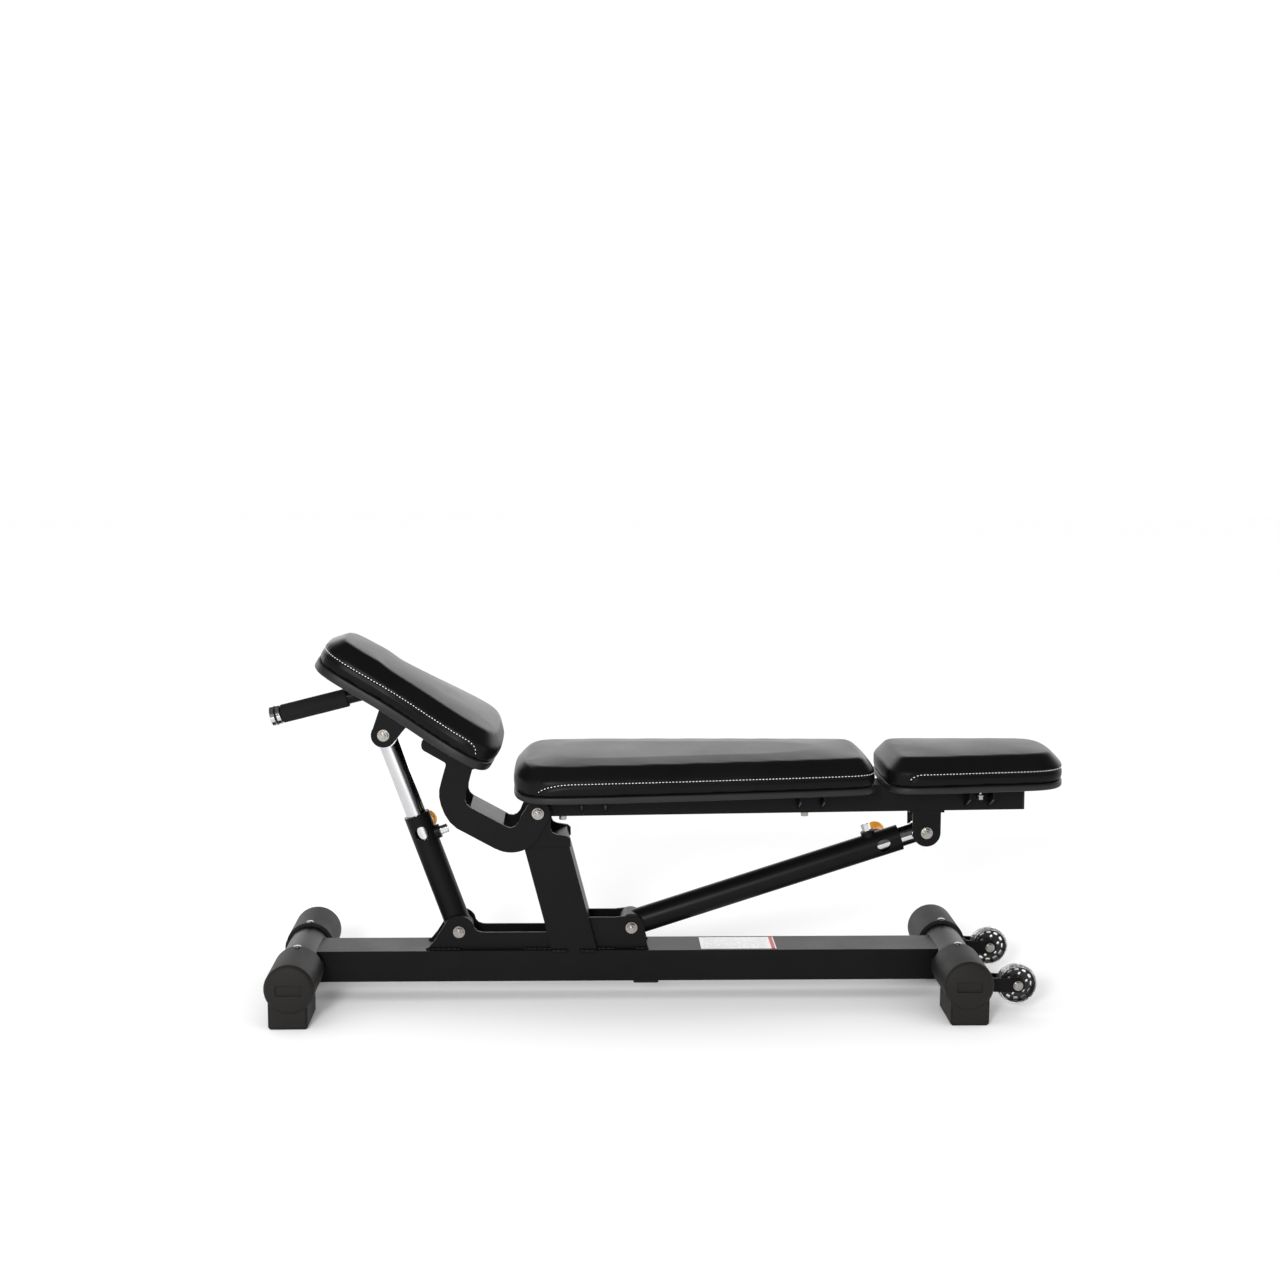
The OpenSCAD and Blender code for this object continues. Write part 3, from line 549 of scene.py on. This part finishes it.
def makeBoard(pad):
    # covered board under the cushion: its edge is rounded, and the seat's turns down as a rim
    outline = closedOutline(pad["half"], padShape["boardStep"])
    bm = bmesh.new()
    face = outlineFace(bm, outline, pad["baseHeight"] - pad["rim"])
    if face.normal.z < 0:
        face.normal_flip()
    face.normal_update()
    insetTop(bm, face, 0, padShape["board"] + pad["rim"])
    bmesh.ops.contextual_create(bm, geom=[e for e in bm.edges if e.is_boundary])
    bmesh.ops.recalc_face_normals(bm, faces=bm.faces)
    rims = [e for e in bm.edges if any(len(f.verts) > 4 for f in e.link_faces)]
    bmesh.ops.bevel(bm, geom=rims, offset=padShape["boardRound"] * mm, offset_type="OFFSET", affect="EDGES",
        segments=4, profile=0.5, material=-1)
    if pad["rim"]:
        under = min((f for f in bm.faces if len(f.verts) > 4), key=lambda f: f.calc_center_median().z)
        insetTop(bm, under, padShape["rimWide"], pad["rim"])
    bmesh.ops.transform(bm, verts=bm.verts, matrix=pad["place"])
    piece = finishPiece(bm, pad["name"] + "Board", materials["board_black"], pad["body"], 50)
    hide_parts(pad["board"])


threadMaterial = makeFinish("stitchThread", finish(colour=(0.92, 0.91, 0.88), colourVaried=(0.82, 0.81, 0.78),
    edgeWear=0.0, roughness=0.7, roughnessVaried=0.8, grainScale=3000.0, bump=0.2, specular=0.3))

for pad in (seatPad, backPad, headPad):
    makeBoard(pad)
    makeCushion(pad)


# weld beads where plates meet the beam

weldBead = {
    "pitch": 3.2, "half": 4.0, "high": 3.6, "uneven": 0.12, "unevenTurn": 2.1,
    # start and end along the bench, and distance from the centre plane
    "runs": [(-441, -382, 31), (-262, -212, 31), (-208, -184, 44), (-156, -129, 44), (-124, -96, 31),
        (-52, -34, 31)],
}


def makeWelds():
    # stacked puddles along the foot of each plate, on both sides of the beam
    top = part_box("main_beam")[1].z
    half, high = weldBead["half"], weldBead["high"]
    bm = bmesh.new()
    for x0, x1, away in weldBead["runs"]:
        steps = round((x1 - x0) / weldBead["pitch"])
        for i in range(steps + 1):
            spot = (x0 + (x1 - x0) * i / steps, away)
            swell = 1 + weldBead["uneven"] * math.sin(i * weldBead["unevenTurn"] + away)
            for side in (-1, 1):
                made = bmesh.ops.create_icosphere(bm, subdivisions=2, radius=1.0)
                bmesh.ops.scale(bm, verts=made["verts"], vec=(half * mm, half * swell * mm,
                    high * swell * mm))
                bmesh.ops.translate(bm, verts=made["verts"], vec=(spot[0] * mm, side * spot[1] * mm, top))
    finishPiece(bm, "weldBeads", materials["powder_black"], "base", 80)


makeWelds()
print("welds laid")


# ring of the handle cap

capRing = {
    "spot": (-540, 0, 579), "turn": -194.3,
    # a section through the ring: distance along the handle and radius
    "section": [(179.5, 15.7), (179.5, 17.2), (180.0, 17.7), (182.0, 17.7), (182.5, 17.2), (182.5, 15.7)],
}


def makeCapRing():
    # the black band let into the groove of the handle's end cap
    bm = bmesh.new()
    verts = [bm.verts.new((x * mm, 0, r * mm)) for x, r in capRing["section"]]
    edges = [bm.edges.new(pair) for pair in zip(verts, verts[1:] + verts[:1])]
    bmesh.ops.spin(bm, geom=verts + edges, cent=(0, 0, 0), axis=(1, 0, 0), angle=math.tau, steps=64,
        use_merge=True)
    bmesh.ops.remove_doubles(bm, verts=bm.verts, dist=0.01 * mm)
    bmesh.ops.recalc_face_normals(bm, faces=bm.faces)
    place = Matrix.Translation(Vector(capRing["spot"]) * mm) @ Matrix.Rotation(math.radians(capRing["turn"]),
        4, "Y")
    bmesh.ops.transform(bm, verts=bm.verts, matrix=place)
    finishPiece(bm, "capRing", materials["grip_foam"], "seat")


makeCapRing()
print("cap ring made")


# floor, light and camera

studio = {
    "floorHalf": 14, "floorColour": (0.9, 0.9, 0.9, 1),
    # brightness seen by matt surfaces, and the darkest and brightest that gloss sees
    "matt": 1.1, "glossLow": 0.13, "glossHigh": 2.5,
    # where the bright parts begin and end: behind, at the left, and up to which height
    "behind": (0.1, 0.75), "left": (-0.25, -0.8), "leftShare": 0.3, "height": (0.2, 0.7),
}
frontLight = {"spot": (-1.2, -4.2, 1.9), "aim": (0, 0, 0.2), "size": (0.8, 0.8), "power": 130}


def makeStage():
    bm = bmesh.new()
    bmesh.ops.create_grid(bm, x_segments=1, y_segments=1, size=studio["floorHalf"])
    mesh = bpy.data.meshes.new("floor")
    bm.to_mesh(mesh)
    bm.free()
    ground = bpy.data.objects.new("floor", mesh)
    scene.collection.objects.link(ground)
    material = bpy.data.materials.new("paleFloor")
    material.use_nodes = True
    shader = material.node_tree.nodes["Principled BSDF"]
    shader.inputs["Base Color"].default_value = studio["floorColour"]
    shader.inputs["Roughness"].default_value = 1.0
    shader.inputs["Specular IOR Level"].default_value = 0.0
    mesh.materials.append(material)


def addLight(name, settings):
    light = bpy.data.lights.new(name, "AREA")
    light.shape = "RECTANGLE"
    light.size, light.size_y = settings["size"]
    light.energy = settings["power"]
    lamp = bpy.data.objects.new(name, light)
    spot = Vector(settings["spot"])
    lamp.location = spot
    lamp.rotation_mode = "QUATERNION"
    lamp.rotation_quaternion = (Vector(settings["aim"]) - spot).to_track_quat("-Z", "Y")
    scene.collection.objects.link(lamp)


def makeWorld():
    # white to the eye and to matt surfaces; gloss sees a darker studio, bright behind and at the left
    world = bpy.data.worlds.new("paleStudio")
    scene.world = world
    world.use_nodes = True
    tree = world.node_tree
    back = tree.nodes["Background"]
    back.inputs["Color"].default_value = (1, 1, 1, 1)
    paths = addNode(tree, "LightPath")
    place = addNode(tree, "TexCoord")
    axes = addNode(tree, "SeparateXYZ", {0: place.outputs["Generated"]})
    behind = addNode(tree, "MapRange", {"Value": axes.outputs["Y"], "From Min": studio["behind"][0],
        "From Max": studio["behind"][1], "To Max": 1.0}, interpolation_type="SMOOTHSTEP")
    left = addNode(tree, "MapRange", {"Value": axes.outputs["X"], "From Min": studio["left"][0],
        "From Max": studio["left"][1], "To Max": studio["leftShare"]}, interpolation_type="SMOOTHSTEP")
    low = addNode(tree, "MapRange", {"Value": axes.outputs["Z"], "From Min": studio["height"][0],
        "From Max": studio["height"][1], "To Min": 1.0, "To Max": 0.0}, interpolation_type="SMOOTHSTEP")
    both = addNode(tree, "Math", {0: behind.outputs["Result"], 1: left.outputs["Result"]},
        operation="MAXIMUM")
    sweep = addNode(tree, "Math", {0: both.outputs[0], 1: low.outputs["Result"]}, operation="MULTIPLY")
    gloss = addNode(tree, "MapRange", {"Value": sweep.outputs[0], "To Min": studio["glossLow"],
        "To Max": studio["glossHigh"]})
    seen = addNode(tree, "Mix", {"Factor": paths.outputs["Is Glossy Ray"], "A": studio["matt"],
        "B": gloss.outputs["Result"]})
    tree.links.new(seen.outputs["Result"], back.inputs["Strength"])


cameraView = {
    "lens": 50.99, "sensor": 36, "spot": (-0.1589, -3.3, 1.1235),
    "right": (0.999455, -0.032556, 0.005432), "down": (0.000991, -0.134920, -0.990856),
    "ahead": (0.032991, 0.990322, -0.134814),
}


def makeCamera():
    data = bpy.data.cameras.new("camera")
    data.sensor_width = cameraView["sensor"]
    data.lens = cameraView["lens"]
    camera = bpy.data.objects.new("camera", data)
    scene.collection.objects.link(camera)
    scene.camera = camera
    rows = [Vector(cameraView["right"]), -Vector(cameraView["down"]), -Vector(cameraView["ahead"])]
    turn = Matrix(rows).transposed().to_4x4()
    camera.matrix_world = Matrix.Translation(cameraView["spot"]) @ turn


makeStage()
makeWorld()
addLight("front", frontLight)
makeCamera()
scene.view_settings.view_transform = "Standard"
print("stage, lights and camera set")
